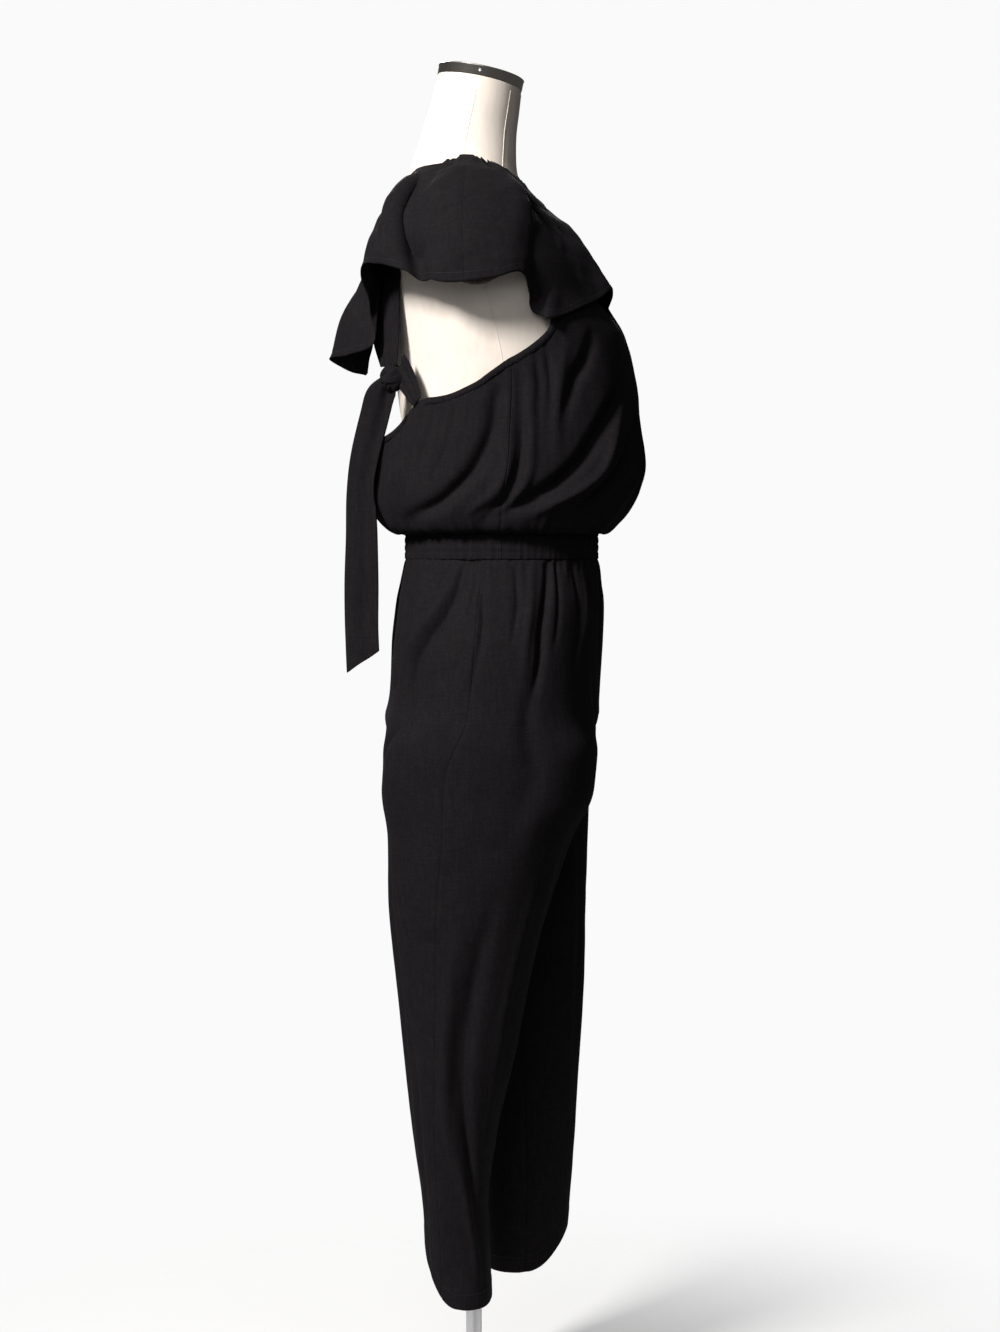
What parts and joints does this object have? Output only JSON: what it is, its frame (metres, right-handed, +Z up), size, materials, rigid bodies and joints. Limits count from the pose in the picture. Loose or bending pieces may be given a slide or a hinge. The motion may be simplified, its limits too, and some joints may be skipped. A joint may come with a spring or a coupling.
{
  "type": "one-shoulder jumpsuit on a limbless dress form",
  "caption": "Dark sleeveless one-shoulder jumpsuit with a flounced neckline, blouson bodice, tapered legs and hanging tie, worn on a limbless dress form.",
  "frame": {"origin": "centre of the stand base's underside, on the pole's axis, where the part stands on the floor", "axes": "+Z up along the pole; -Y the wearer's front; -X the wearer's right, the side of the covered shoulder"},
  "size_m": [0.3874, 0.3725, 1.6018],
  "materials": {
    "crepe": "matt textured crepe, near black",
    "form_linen": "matt cream linen cover over foam",
    "nickel": "satin nickel",
    "wood": "dark stained, satin",
    "steel": "satin tube",
    "base_metal": "smooth satin paint"
  },
  "bodies": {
    "root": {"bodice_front": "crepe", "bodice_back": "crepe", "armhole_binding": "crepe", "back_binding": "crepe", "shoulder_strap": "crepe", "flounce_front": "crepe", "flounce_back": "crepe", "waistband_front": "crepe", "waistband_back": "crepe", "trouser_right_front": "crepe", "trouser_right_back": "crepe", "trouser_left_front": "crepe", "trouser_left_back": "crepe", "corner_tab": "crepe", "tie_knot": "crepe", "tie_end": "crepe", "form_torso": "form_linen", "neck_band": "nickel", "neck_cap": "nickel", "arm_plate_right": "wood", "arm_plate_left": "wood", "pole": "steel", "pole_flange": "steel", "pole_collar": "wood", "base": "base_metal"}
  },
  "joints": []
}
